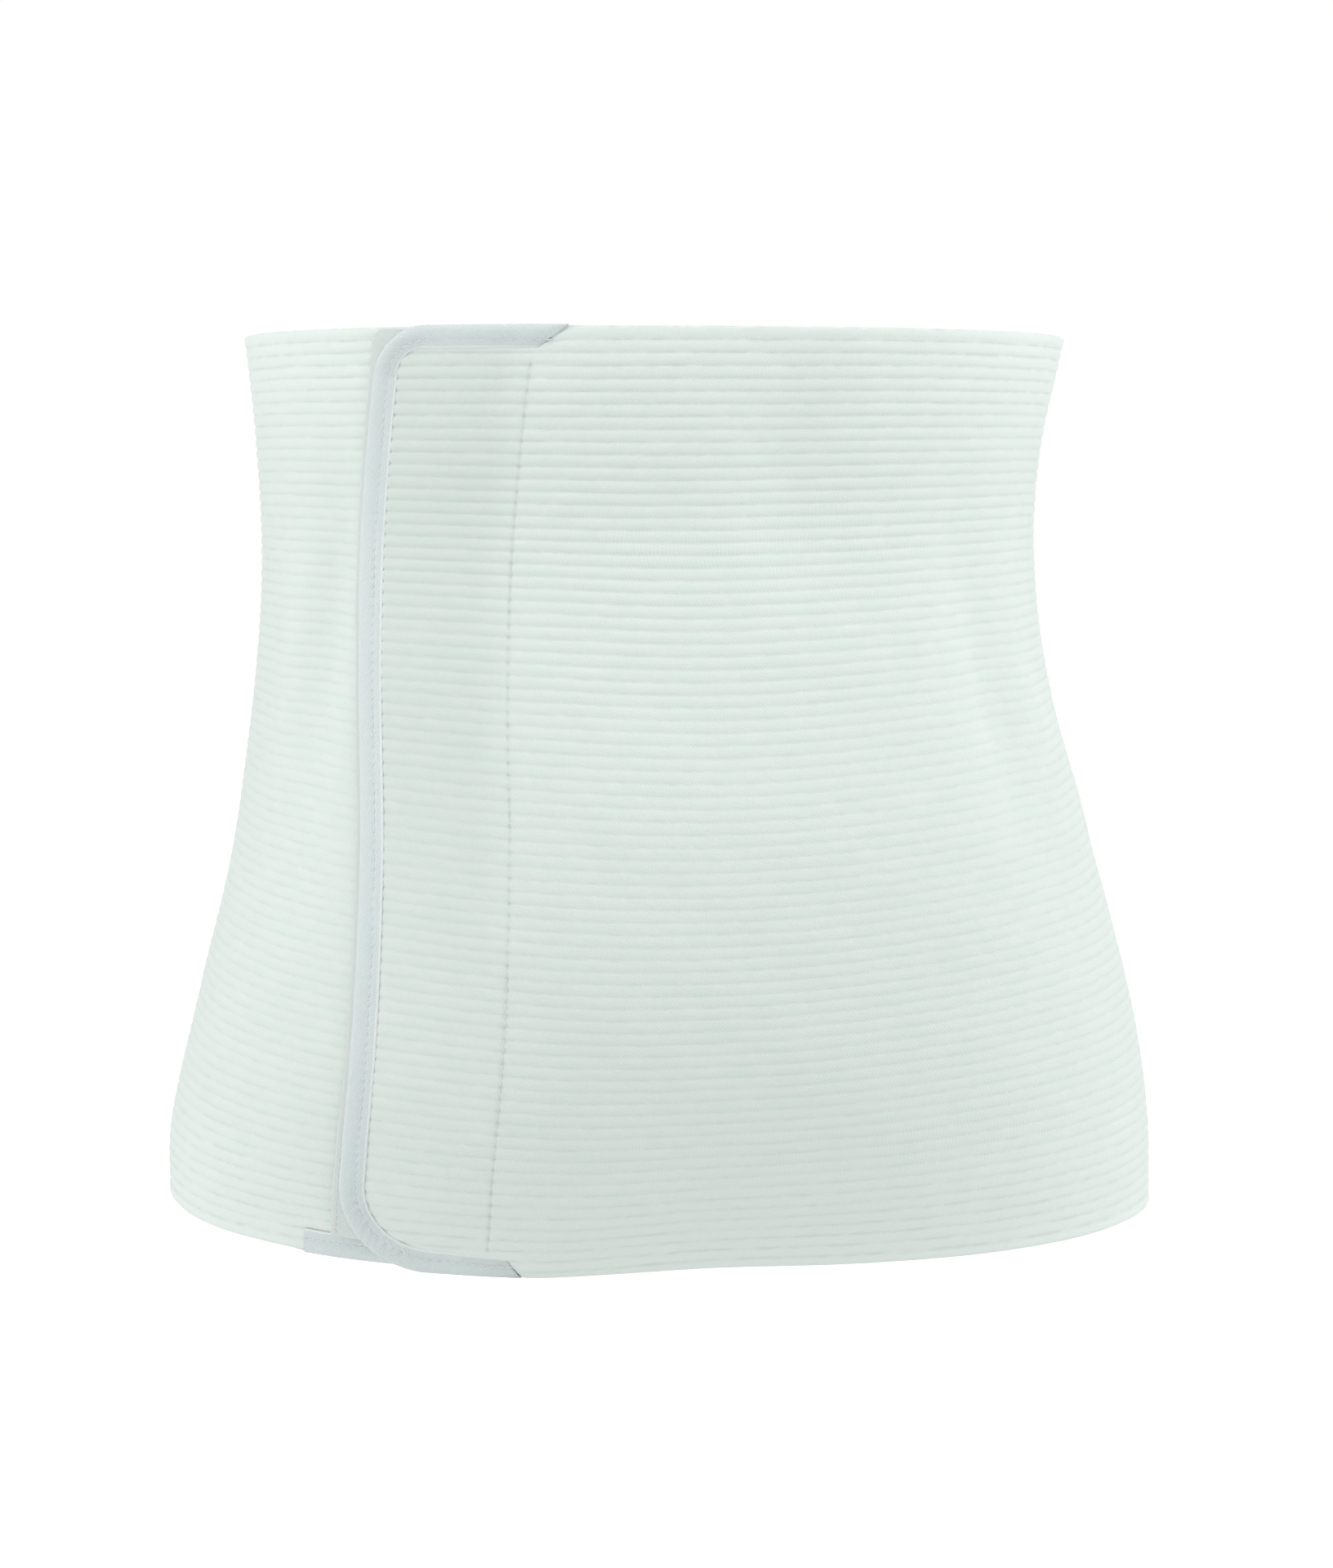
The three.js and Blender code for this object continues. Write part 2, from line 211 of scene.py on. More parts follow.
def makeArcTable():
    downs = np.arange(0, int(height) + 1)
    turns = np.linspace(0, 2 * np.pi, body["turnSteps"] + 1)
    points = bodyPoint(turns[None, :], 1 - downs[:, None] / height)
    lengths = np.linalg.norm(np.diff(points, axis=1), axis=-1)
    arcs = np.concatenate([np.zeros((len(downs), 1)), np.cumsum(lengths, axis=1)], axis=1)
    shares = np.linspace(0, 1, body["arcSteps"] + 1)
    inverse = np.stack([np.interp(shares * row[-1], row, turns) for row in arcs])
    return arcs[:, -1], inverse


girths, turnTable = makeArcTable()


def girthAt(down):
    return np.interp(np.clip(down, 0, height), np.arange(len(girths)), girths)


def turnAt(arc, down):
    down = np.clip(down, 0, height)
    share = arc / girthAt(down)
    whole = np.floor(share)
    across = (share - whole) * (turnTable.shape[1] - 1)
    left = np.minimum(across.astype(int), turnTable.shape[1] - 2)
    above = np.minimum(down.astype(int), turnTable.shape[0] - 2)
    p, q = across - left, down - above
    upper = turnTable[above, left] * (1 - p) + turnTable[above, left + 1] * p
    lower = turnTable[above + 1, left] * (1 - p) + turnTable[above + 1, left + 1] * p
    return upper * (1 - q) + lower * q + 2 * np.pi * whole


def sagAt(turn, down):
    share = np.clip(down / height, 0, 1)
    ahead = np.maximum(0, np.cos(turn)) ** 2
    belly = body["bellySag"] * np.sin(np.pi * share) * ahead
    hips = body["hipRide"] * np.sin(np.pi * share ** 2) * (1 - ahead)
    side = np.sin(turn)
    edgeRide = np.where(side > 0, body["edgeRideLeft"], body["edgeRideRight"])
    return belly - hips - edgeRide * share ** 3 * side ** 6


def clothPlace(arc, down, lift):
    arc, down, lift = (np.asarray(value, float) for value in np.broadcast_arrays(arc, down, lift))
    inside = np.clip(down, 0, height)

    def placeOn(level):
        turn = turnAt(arc, level)
        up = 1 - (level + sagAt(turn, level)) / height
        normal = bodyNormal(turn, up)
        return bodyPoint(turn, up) + normal * lift[..., None], normal

    point, normal = placeOn(inside)
    past = down - inside
    if np.any(past):  # straight on beyond the long edges
        nearer, _ = placeOn(inside - np.sign(past))
        point = point + np.abs(past)[..., None] * (point - nearer)
    return point, normal


# Edges of the band's two ends

def cornerInset(radius, distance):
    reach = radius - np.clip(distance, 0, radius)
    return radius - np.sqrt(radius ** 2 - reach ** 2)


def endInset(end, down):
    return cornerInset(end["cornerTop"], down) + cornerInset(end["cornerHem"], height - down)


def flapLine(down):
    return blendOf(*flapEnd["arcs"], np.asarray(down, float) / height)


def flapEndArc(down):
    # The flap's end lies once round the body past its line
    return girthAt(down) + flapLine(down)


def underLine(down):
    return flapLine(down) - underEnd["overlap"]


def bandLift(arc, down):
    run = blendOf(flapEnd["runTop"], flapEnd["runHem"], down / height)
    climbEnd = flapEndArc(down) - run - closing["climbSpare"]
    return closing["flapLift"] * smoothStep(climbEnd - closing["climbLength"], climbEnd, arc)


def tapeShare(end, down):
    # The tape takes in more of the upper edge than of the end, so less of it shows there
    return blendOf(closing["topShare"], 1, np.clip(down / end["cornerTop"], 0, 1))


def slantAt(level, slant):
    return slant * np.clip(1 - level / closing["tapeWidth"], 0, 1)


def hemRise(end, fromEnd):
    lost = end["riseLost"] * smoothStep(end["cornerHem"], end["runHem"], fromEnd)
    return end["hemRise"] * (1 - lost)


def tapedDistance(end, fromEnd, down):
    # Distance in from one end's taped outline, its rounded corners included
    edges = (("Top", down), ("Hem", height - down))
    distance = fromEnd
    for edge, level in edges:
        past = fromEnd - end["run" + edge] - slantAt(level, end["slant" + edge])
        distance = np.minimum(distance, level + closing["releaseSlope"] * np.maximum(0, past))
    for edge, level in edges:
        corner = end["corner" + edge]
        inCorner = (fromEnd < corner) & (level < corner)
        inward = corner - np.hypot(corner - fromEnd, corner - level)
        distance = np.where(inCorner, np.minimum(distance, inward), distance)
    return distance / tapeShare(end, down)


def clothDistance(arc, down):
    # Distance in from the nearer taped end of the band
    under = tapedDistance(underEnd, arc - underLine(down), down)
    flap = tapedDistance(flapEnd, flapEndArc(down) - arc, down)
    return np.minimum(under, flap)


# Node helpers

class Wire:  # an output socket that takes part in sums
    def __init__(self, tree, socket):
        self.tree = tree
        self.socket = socket

    def math(self, operation, *values):
        return self.tree.node("ShaderNodeMath", {"operation": operation}, dict(enumerate(values)))

    def __add__(self, other):
        return self.math("ADD", self, other)

    __radd__ = __add__

    def __sub__(self, other):
        return self.math("SUBTRACT", self, other)

    def __rsub__(self, other):
        return self.math("SUBTRACT", other, self)

    def __mul__(self, other):
        return self.math("MULTIPLY", self, other)

    __rmul__ = __mul__

    def __truediv__(self, other):
        return self.math("DIVIDE", self, other)

    def __rtruediv__(self, other):
        return self.math("DIVIDE", other, self)

    def __pow__(self, other):
        return self.math("POWER", self, other)

    def sine(self):
        return self.math("SINE", self)

    def absolute(self):
        return self.math("ABSOLUTE", self)

    def clipped(self):
        return self.math("MAXIMUM", self.math("MINIMUM", self, 1.0), 0.0)


class Tree:
    def __init__(self, nodeTree):
        self.nodeTree = nodeTree

    def socketIn(self, sockets, key):
        if isinstance(key, int):
            return sockets[key]
        for socket in sockets:
            if socket.identifier == key:
                return socket
        return sockets[key]

    def node(self, kind, settings, inputs, output=0):
        made = self.nodeTree.nodes.new(kind)
        for name, value in settings.items():
            setattr(made, name, value)
        for key, value in inputs.items():
            socket = self.socketIn(made.inputs, key)
            if isinstance(value, Wire):
                self.nodeTree.links.new(value.socket, socket)
            else:
                socket.default_value = value
        return Wire(self, self.socketIn(made.outputs, output))

    def mixColours(self, share, first, second):
        inputs = {"Factor_Float": share, "A_Color": first, "B_Color": second}
        return self.node("ShaderNodeMix", {"data_type": "RGBA"}, inputs, "Result_Color")

    def vectorOf(self, x, y, z=0.0):
        return self.node("ShaderNodeCombineXYZ", {}, {0: x, 1: y, 2: z})

    def noise(self, vector, scale, detail=2.0, roughness=0.5):
        inputs = {"Vector": vector, "Scale": scale, "Detail": detail, "Roughness": roughness}
        return self.node("ShaderNodeTexNoise", {}, inputs, "Fac")

    def clothNoise(self, along, down, scales, detail=2.0, roughness=0.5):
        return self.noise(self.vectorOf(along * scales[0], down * scales[1]), 1.0, detail, roughness)

    def scaledVector(self, vector, scale):
        return self.node("ShaderNodeVectorMath", {"operation": "SCALE"}, {0: vector, "Scale": scale})

    def clothAt(self):
        # Along and down the cloth in millimetres, from the piece's own map
        place = {0: self.node("ShaderNodeUVMap", {"uv_map": "cloth"}, {})}
        along = self.node("ShaderNodeSeparateXYZ", {}, place, 0) * (1 / metre)
        down = self.node("ShaderNodeSeparateXYZ", {}, place, 1) * (-1 / metre)
        return along, down

    def attribute(self, name):
        return self.node("ShaderNodeAttribute", {"attribute_name": name}, {}, "Fac")


def newMaterial(name, fixed):
    material = bpy.data.materials.new(name)
    material.use_nodes = True
    shader = material.node_tree.nodes["Principled BSDF"]
    for label, value in fixed.items():  # what is the same all over sits on the shader's own sockets
        shader.inputs[label].default_value = value
    material.diffuse_color = (0.9, 0.93, 0.92, 1)
    return material, Tree(material.node_tree), shader


def finishMaterial(tree, shader, colour, roughness, bumpHeight, bumpDepth):
    given = {"Strength": 1.0, "Distance": bumpDepth * metre, "Height": bumpHeight}
    bump = tree.node("ShaderNodeBump", {}, given)
    links = tree.nodeTree.links
    links.new(colour.socket, shader.inputs["Base Color"])
    links.new(roughness.socket, shader.inputs["Roughness"])
    links.new(bump.socket, shader.inputs["Normal"])


# Materials. Noise scales are along and down the cloth, per millimetre, and bumps are in millimetres.

elasticLook = {
    "fixed": {"Sheen Weight": 0.25, "Sheen Roughness": 0.6, "Specular IOR Level": 0.2},
    "crest": (0.805, 0.885, 0.842, 1),
    "warm": (0.835, 0.885, 0.842, 1),
    "cool": (0.765, 0.880, 0.838, 1),
    "tintShare": 0.55,  # of the warm and cool patches
    "patchScale": (0.09, 0.16),
    # painted shade: the colour of the darker grooves between the ribs
    "grooveShade": (0.745, 0.832, 0.786, 1),
    "grooveNarrow": 1.6,
    "dashScale": (0.13, 0.31),  # the grooves' painted shade comes and goes in dashes
    "dashGain": 4.4,
    "dashCut": 1.5,
    "fuzzScale": (1.9, 2.6),
    "fuzzShade": 0.10,
    "yarnPitch": 1.25,  # between the knit's upright columns
    "yarnWobble": (0.05, 0.3),
    "yarnShade": 0.008,
    # painted light: the cloth is painted lighter near the long edges
    "edge": (0.875, 0.955, 0.915, 1),
    "paintedEdgeLight": 0.85,
    "edgeReach": 42.0,  # from the long edges, where painted light makes the cloth lighter
    "seamShade": 0.2,
    "needle": (0.56, 0.64, 0.60, 1),
    "needleShare": 1.6,
    # painted shade: a dark colour mixed into the flap over the closing strip
    "flapShade": (0.22, 0.30, 0.27, 1),
    "flapShadeShare": 0.11,  # how much painted shade the flap gets over the closing strip
    "bump": 0.35,
}


def makeElasticMaterial():
    look = elasticLook
    material, tree, shader = newMaterial("ribbedElastic", look["fixed"])
    along, down = tree.clothAt()
    seam = tree.attribute("seamShare")
    inGroove = 1.0 - tree.attribute("ribHeight")
    dash = tree.clothNoise(along, down, look["dashScale"], 3.0, 0.65)
    patch = tree.clothNoise(along, down, look["patchScale"])
    fuzz = tree.clothNoise(along, down, look["fuzzScale"], 3.0, 0.65)
    wobble = tree.clothNoise(along, down, look["yarnWobble"]) * 2.0
    columns = ((along / look["yarnPitch"] + wobble) * (2 * math.pi)).sine()

    tint = tree.mixColours((patch * 3.0 - 1.0).clipped(), look["warm"], look["cool"])
    ground = tree.mixColours(look["tintShare"], look["crest"], tint)
    # painted light: lighter colour within edgeReach of the long edges
    fromMiddle = (down - height / 2).absolute()
    nearEdge = ((fromMiddle - height / 2 + look["edgeReach"]) / look["edgeReach"]).clipped()
    ground = tree.mixColours(nearEdge * look["paintedEdgeLight"], ground, look["edge"])

    # painted shade: the grooves are painted darker in dashes, and the seam line darker too
    shadeDashes = inGroove ** look["grooveNarrow"] * (look["dashGain"] * dash - look["dashCut"])
    grooveShadeMask = shadeDashes + seam * look["seamShade"]
    colour = tree.mixColours(grooveShadeMask.clipped(), ground, look["grooveShade"])
    shade = (look["fuzzShade"] * (fuzz - 0.5) + look["yarnShade"] * columns + 0.05).clipped()
    colour = tree.mixColours(shade, colour, look["grooveShade"])
    needleMask = (seam * inGroove * (look["needleShare"] * dash)).clipped()
    colour = tree.mixColours(needleMask, colour, look["needle"])
    # painted shade on the flap over the closing strip
    colour = tree.mixColours(tree.attribute("flapShadeOverStrip") * look["flapShadeShare"], colour, look["flapShade"])

    relief = fuzz * 0.6 + 0.035 * columns + 0.3 * dash
    finishMaterial(tree, shader, colour, 0.9 + 0.08 * fuzz, relief, look["bump"])
    return material


tapeLook = {
    "fixed": {"Sheen Weight": 0.2, "Sheen Roughness": 0.5, "Specular IOR Level": 0.25},
    "ground": (0.775, 0.862, 0.855, 1),
    "shade": (0.67, 0.76, 0.76, 1),
    "shadeShare": 0.10,
    "weaveShade": 0.14,
    "patchShade": 0.5,
    # painted highlight: the lit colour of the tape's rounded fold
    "fold": (0.825, 0.88, 0.89, 1),
    "foldReach": 2.0,  # across the tape from its fold, where a painted highlight lies
    "foldFade": 2.5,
    "selvedge": (0.95, 0.985, 0.985, 1),
    "selvedgeFrom": 7.9,  # across the tape
    "twillPitch": 0.75,  # between the twill's slanting lines
    "twillSlope": 0.75,
    "yarnShare": 0.62,  # of the twill's pitch
    "yarnSlope": 0.2,
    "fuzzScale": (2.2, 2.2),
    "patchScale": (0.12, 0.3),
    "bump": 0.12,
}


def makeTapeMaterial():
    look = tapeLook
    material, tree, shader = newMaterial("bindingTape", look["fixed"])
    along, across = tree.clothAt()
    turns = 2 * math.pi / look["twillPitch"]
    slant = ((along * look["twillSlope"] + across) * turns).sine()
    yarn = ((along - across * look["yarnSlope"]) * (turns / look["yarnShare"])).sine()
    fuzz = tree.clothNoise(along, across, look["fuzzScale"], 3.0, 0.6)
    patch = tree.clothNoise(along, across, look["patchScale"])
    weave = slant * 0.5 + yarn * 0.25
    uneven = look["patchShade"] * (fuzz - 0.5) + look["patchShade"] * (patch - 0.5)
    shadeShare = (look["shadeShare"] - look["weaveShade"] * weave + uneven).clipped()
    # painted highlight: the tape is painted lighter near its rounded fold
    foldShare = ((look["foldReach"] - across) / look["foldFade"]).clipped()
    ground = tree.mixColours(foldShare, look["ground"], look["fold"])
    selvedgeShare = ((across - look["selvedgeFrom"]) * 4.0).clipped() * (0.55 + 0.6 * fuzz)
    colour = tree.mixColours(shadeShare, ground, look["shade"])
    colour = tree.mixColours(selvedgeShare.clipped(), colour, look["selvedge"])
    finishMaterial(tree, shader, colour, 0.78 + 0.12 * fuzz, weave + 0.7 * fuzz, look["bump"])
    return material


stripLook = {
    "fixed": {"Sheen Weight": 0.15, "Sheen Roughness": 0.5, "Specular IOR Level": 0.25},
    "ground": (0.915, 0.98, 0.95, 1),
    "shade": (0.78, 0.85, 0.83, 1),
    "shadeShare": 0.25,
    "weaveShade": 0.15,
    "fuzzShade": 0.7,
    "fuzzScale": (1.6, 1.1),
    "weavePitch": 0.6,
    "bump": 0.12,
}


def makeStripMaterial():
    look = stripLook
    material, tree, shader = newMaterial("closingStrip", look["fixed"])
    along, down = tree.clothAt()
    turns = 2 * math.pi / look["weavePitch"]
    weave = (along * turns).sine() * (down * turns).sine()
    fuzz = tree.clothNoise(along, down, look["fuzzScale"], 3.0, 0.6)
    shadeShare = look["shadeShare"] - look["weaveShade"] * weave + look["fuzzShade"] * (fuzz - 0.5)
    colour = tree.mixColours(shadeShare.clipped(), look["ground"], look["shade"])
    finishMaterial(tree, shader, colour, 0.7 + 0.15 * fuzz, weave + fuzz, look["bump"])
    return material


threadLook = {
    "fixed": {"Sheen Weight": 0.1, "Specular IOR Level": 0.35},
    "light": (0.90, 0.925, 0.945, 1),
    "dark": (0.70, 0.75, 0.78, 1),
    "darkShare": 0.15,
    "twistShade": 0.4,
    "twistScale": 900.0,  # per metre
    "fibreScale": 2500.0,
    "bump": 0.08,
}


def makeThreadMaterial():
    look = threadLook
    material, tree, shader = newMaterial("sewingThread", look["fixed"])
    place = tree.node("ShaderNodeTexCoord", {}, {}, "Object")
    fibre = tree.noise(place, look["fibreScale"], 2.0, 0.6)
    twist = tree.node(
        "ShaderNodeTexWave",
        {"bands_direction": "DIAGONAL"},
        {"Vector": place, "Scale": look["twistScale"]},
        "Fac",
    )
    shadeShare = look["darkShare"] + look["twistShade"] * (1.0 - twist) + look["twistShade"] * (fibre - 0.5)
    colour = tree.mixColours(shadeShare.clipped(), look["light"], look["dark"])
    finishMaterial(tree, shader, colour, 0.55 + 0.2 * fibre, twist + fibre, look["bump"])
    return material


materials = {
    "elastic": makeElasticMaterial(),
    "tape": makeTapeMaterial(),
    "strip": makeStripMaterial(),
    "thread": makeThreadMaterial(),
}
print("materials ready")


# Mesh and geometry node helpers

def newPiece(name, points, faces, cloth=None, edges=(), attributes=None):
    mesh = bpy.data.meshes.new(name)
    mesh.from_pydata((np.asarray(points) * metre).tolist(), list(edges), faces)
    if faces:
        mesh.shade_smooth()
    if cloth is not None:
        corners = np.empty(len(mesh.loops), int)
        mesh.loops.foreach_get("vertex_index", corners)
        layer = mesh.uv_layers.new(name="cloth")
        millimetres = np.asarray(cloth) * (metre, -metre)
        layer.uv.foreach_set("vector", millimetres[corners].astype(np.float32).ravel())
    for label, values in (attributes or {}).items():
        kind, field = ("FLOAT_VECTOR", "vector") if values.ndim > 1 else ("FLOAT", "value")
        held = mesh.attributes.new(label, kind, "POINT").data
        held.foreach_set(field, values.astype(np.float32).ravel())
    mesh.validate()
    piece = bpy.data.objects.new(name, mesh)
    scene.collection.objects.link(piece)
    return piece


def newGeometryTree(name, sizes):
    group = bpy.data.node_groups.new(name, "GeometryNodeTree")
    group.interface.new_socket("Geometry", in_out="OUTPUT", socket_type="NodeSocketGeometry")
    sockets = [("Geometry", "Geometry"), *((label, "Float") for label in sizes), ("Material", "Material")]
    for label, kind in sockets:
        group.interface.new_socket(label, in_out="INPUT", socket_type="NodeSocket" + kind)
    tree = Tree(group)
    given = group.nodes.new("NodeGroupInput")
    inputs = {socket.name: Wire(tree, socket) for socket in given.outputs if socket.name}
    return tree, inputs


def closeTree(tree, geometry, material):
    realised = tree.node("GeometryNodeRealizeInstances", {}, {"Geometry": geometry})
    painted = tree.node("GeometryNodeSetMaterial", {}, {"Geometry": realised, "Material": material})
    result = tree.nodeTree.nodes.new("NodeGroupOutput")
    tree.nodeTree.links.new(painted.socket, result.inputs[0])


def named(tree, label, kind="FLOAT"):
    return tree.node("GeometryNodeInputNamedAttribute", {"data_type": kind}, {"Name": label}, "Attribute")


def runTree(piece, tree, values):
    modifier = piece.modifiers.new("shaping", "NODES")
    modifier.node_group = tree.nodeTree
    for item in tree.nodeTree.interface.items_tree:
        if item.in_out == "INPUT" and item.name in values:
            modifier[item.identifier] = values[item.name]
    graph = bpy.context.evaluated_depsgraph_get()
    graph.update()
    shaped = bpy.data.meshes.new_from_object(
        piece.evaluated_get(graph), preserve_all_data_layers=True, depsgraph=graph
    )
    piece.modifiers.remove(modifier)
    piece.data = shaped
    return piece


# The binding tape's sizes, which the band's ends are made to fit

tape = {
    "step": 0.75,  # along the tape
    # inset from the band's edge and lift, from the outer leg's border over the fold to the inner leg's
    "outerSkin": [
        (8.0, 1.58), (8.04, 1.72), (7.85, 1.88), (7.5, 1.98), (7.2, 1.96), (6.6, 2.08), (5.9, 2.22),
        (5.4, 2.22), (5.0, 2.16), (4.6, 2.26), (4.0, 2.46), (3.2, 2.64), (2.2, 2.76), (1.3, 2.74),
        (0.5, 2.54), (-0.1, 2.16), (-0.42, 1.65), (-0.44, 1.1), (-0.2, 0.5), (0.3, 0.13), (1.1, 0.0),
        (4.0, 0.0), (8.0, 0.0),
    ],
    # and back along the inside
    "insideSkin": [(8.0, 0.6), (4.0, 0.65), (1.2, 0.8), (0.4, 1.35), (1.2, 1.95), (4.0, 1.9)],
    "skinEnd": 15,  # how many of them face out or stand at the fold
    "edgeTuck": 1.1,  # how far the band's edge stays inside the fold
    "slantLength": 14.0,  # length in which an end of the tape comes to its slant
    "flatLength": 9.0,  # length in which the tape comes to its full height from its ends
    "flatShare": 0.8,
    "stitchInset": 5.0,
    "stitchOut": 2.2,
    "stitchPitch": 3.0,
    "pinch": 0.16,  # how far the stitches pull the tape in
    "pinchReach": 1.1,
    # gathers that cross the tape at its corners: share, length and start
    "gathers": [(1.0, 3.4, 0.0), (0.6, 5.3, 1.0)],
    "gatherOut": 0.1,
    "gatherInset": 4.2,
    "gatherReach": 2.6,
    "gatherSlant": 0.7,
    "gatherOnRuns": 0.12,  # share of them away from the corners
    "slowWave": 0.12,
}


# Elastic band

band = {
    "ribs": 78,
    "rowShares": (0, 0.12, 0.28, 0.5, 0.72, 0.88),  # rows across one rib
    "edgeRows": (0, 0.12, 0.4, 0.9, 1.7),
    "innerEvery": 3,  # outer rows to one inner row
    "grooveOut": 1.4,  # outer face at a groove, from the inner face's level
    "crestRise": 0.5,
    "crestRoundness": 2.2,
    "hipFlatness": 0.55,  # how much lower the ribs are where the hips stretch them
    "hips": (60, 170),  # down to them
    "variation": 0.5,
    "variationSize": 9.0,
    "waviness": 0.09,  # rib pitches
    "innerOut": 0.32,
    "innerRise": 0.3,
    "wall": 2.0,
    "edgeRound": 1.0,
    "rimShare": 0.12,  # of the wall that is left at the rim of a long edge
    "selvedge": 2.6,  # plain edge rows beside the long edges
    "selvedgeFade": 0.8,
    "plainOut": 0.45,
    "plainShare": 0.85,
    # under a tape
    "pressFade": (6.8, 8.3),  # in from a taped edge, where its tape stops pressing the ribs
    "pressedOut": 1.45,
    "pressedRise": 0.2,
    "pressedHalf": 0.4,  # half of the pressed wall
    "tuck": 1.0,  # how far a tape's inner leg holds the band off the body
    "innerGap": 0.05,
    "tuckFade": 4.0,
    "tuckReach": 8.0,
    # columns
    "longColumns": 117,
    "frontCrowding": 0.075,
    "startPower": 8,  # how fast the under end's rounded corners fade out
    "spareBeforeSeam": 4.0,
    "seamColumns": (6, 3, 1.4, 0.7, 0, -0.7, -1.4, -3),
    "endColumns": (40, 36, 33, 30, 27, 24, 21, 18, 15.5, 13, 11, 9.8, 9, 8.3, 7.6, 6.8, 5.5, 4, 2.2, 1.3),
    "endZone": 37.0,  # over which they are drawn in at the flap's corners
    # the hidden strip's inner seam
    "seamFromEnd": (49.8, 46.8),  # at the upper edge and at the hem
    "seamWidth": 0.5,
    "seamDepth": 0.15,
    "seamDent": 0.5,
    "seamBegins": (9, 11),  # in from the long edges
    # the painted shade on the flap over the strip, from the seam and down
    "shadeAcross": (4, -12),
    "shadeDown": (235, 120),
    # slow waves: height, then two sines with shares of arc and of down and a start
    "waves": [
        (0.35, (0.041, 0.013, 0), (0, 0.033, 1.1)),
        (0.18, (0.113, -0.027, 0.6), (0.017, 0.071, 0)),
    ],
    "wavesAfterUnder": (20, 60),  # where they begin, from either end
    "wavesAfterFlap": (0, 25),
}
ribPitch = height / band["ribs"]


def bandRows():
    edge = [*band["edgeRows"], band["selvedge"]]
    rows = list(edge)
    for rib in range(1, band["ribs"] - 1):
        rows += [(rib + share) * ribPitch for share in band["rowShares"]]
    rows += [(band["ribs"] - 1) * ribPitch] + [height - down for down in reversed(edge)]
    return np.array(rows)


def seamFromEnd(down):
    return blendOf(*band["seamFromEnd"], down / height)


def bandColumns(down):
    # Arcs of one row's columns: even lengths round the back, then at distances from the flap's end
    nearEnd = [seamFromEnd(down) + offset for offset in band["seamColumns"]]
    nearEnd += [*band["endColumns"], tape["edgeTuck"]]
    inset = endInset(flapEnd, down)
    endColumns = [t + inset * max(0, 1 - t / band["endZone"]) for t in nearEnd]
    start = underLine(down)
    stop = flapEndArc(down) - nearEnd[0] - band["spareBeforeSeam"]
    even = np.linspace(0, 1, band["longColumns"])
    even = even - band["frontCrowding"] * np.sin(2 * np.pi * even)
    startInset = (endInset(underEnd, down) + tape["edgeTuck"]) * (1 - even) ** band["startPower"]
    longArcs = start + startInset + (stop - start) * even
    return np.concatenate([longArcs, flapEndArc(down) - np.array(endColumns)])


def softUnevenness(arc, down):
    total = 0
    for rise, first, second in band["waves"]:
        along = np.sin(arc * first[0] + down * first[1] + first[2])
        across = np.sin(arc * second[0] + down * second[1] + second[2])
        total = total + rise * (along * across)
    total = total * smoothStep(*band["wavesAfterUnder"], arc - underLine(down))
    return total * smoothStep(*band["wavesAfterFlap"], flapEndArc(down) - arc)


def roundedShare(distance, radius):
    # 1 over most of a piece, and falls to 0 round its edges
    reach = 1 - np.clip(distance / radius, 0, 1)
    return np.sqrt(np.maximum(0, 1 - reach ** 2))


def tuckedRows(arc, down):
    # Under a tape the long edges stay inside its fold
    fromFlap = flapEndArc(down) - arc
    fromUnder = arc - underLine(down)

    def tuck(level, flapRun, underRun, rise=0):
        fade = band["tuckFade"]
        flap = smoothStep(flapRun, flapRun - fade, fromFlap) * (tape["edgeTuck"] + rise)
        under = smoothStep(underRun, underRun - fade, fromUnder) * tape["edgeTuck"]
        return np.maximum(0, 1 - level / band["tuckReach"]) * np.maximum(flap, under)

    topRun = flapEnd["runTop"] + flapEnd["slantTop"]
    hemRun = flapEnd["runHem"] + flapEnd["slantHem"]
    atHem = tuck(height - down, hemRun, underEnd["runHem"], hemRise(flapEnd, fromFlap))
    return down + tuck(down, topRun, underEnd["runTop"]) - atHem


def bandFace(rows, outward):
    down = np.repeat(rows[:, None], len(bandColumns(0.0)), axis=1)
    arc = np.stack([bandColumns(level) for level in rows])
    fromEdge = np.minimum(down, height - down)
    fromSeam = flapEndArc(down) - arc - seamFromEnd(down)
    pressed = 1 - smoothStep(*band["pressFade"], clothDistance(arc, down))
    fade = band["selvedgeFade"]
    plain = 1 - smoothStep(band["selvedge"] - fade, band["selvedge"] + fade, fromEdge)
    middle = blendOf(band["wall"] / 2, band["tuck"] + band["pressedHalf"], pressed)
    seam = 0 * down
    if outward:
        inner = smoothStep(*band["seamBegins"], fromEdge)
        seam = np.exp(-((fromSeam / band["seamWidth"]) ** 2)) * inner
        out = blendOf(band["grooveOut"], band["pressedOut"], pressed) - band["seamDepth"] * seam
        out = out + band["plainOut"] * plain * (1 - pressed)
        flatness = band["hipFlatness"] * smoothStep(*band["hips"], down)
        depth = blendOf(band["crestRise"] * (1 - flatness), band["pressedRise"], pressed)
        depth = depth * (1 - plain * band["plainShare"]) * (1 - band["seamDent"] * seam)
    else:
        out = blendOf(band["innerOut"], band["tuck"] + band["innerGap"], pressed)
        depth = -band["innerRise"] * (1 - pressed) * (1 - plain)
    share = roundedShare(fromEdge, band["edgeRound"])
    out = middle + (out - middle) * blendOf(band["rimShare"], 1, share)
    lift = bandLift(arc, down) + out + softUnevenness(arc, down) * (1 - pressed)
    point, normal = clothPlace(arc, tuckedRows(arc, down), lift)
    # where the flap over the strip gets painted shade
    flapShadeOverStrip = smoothStep(*band["shadeAcross"], fromSeam) * smoothStep(*band["shadeDown"], down)
    return arc, down, point, normal, depth * share, seam, flapShadeOverStrip


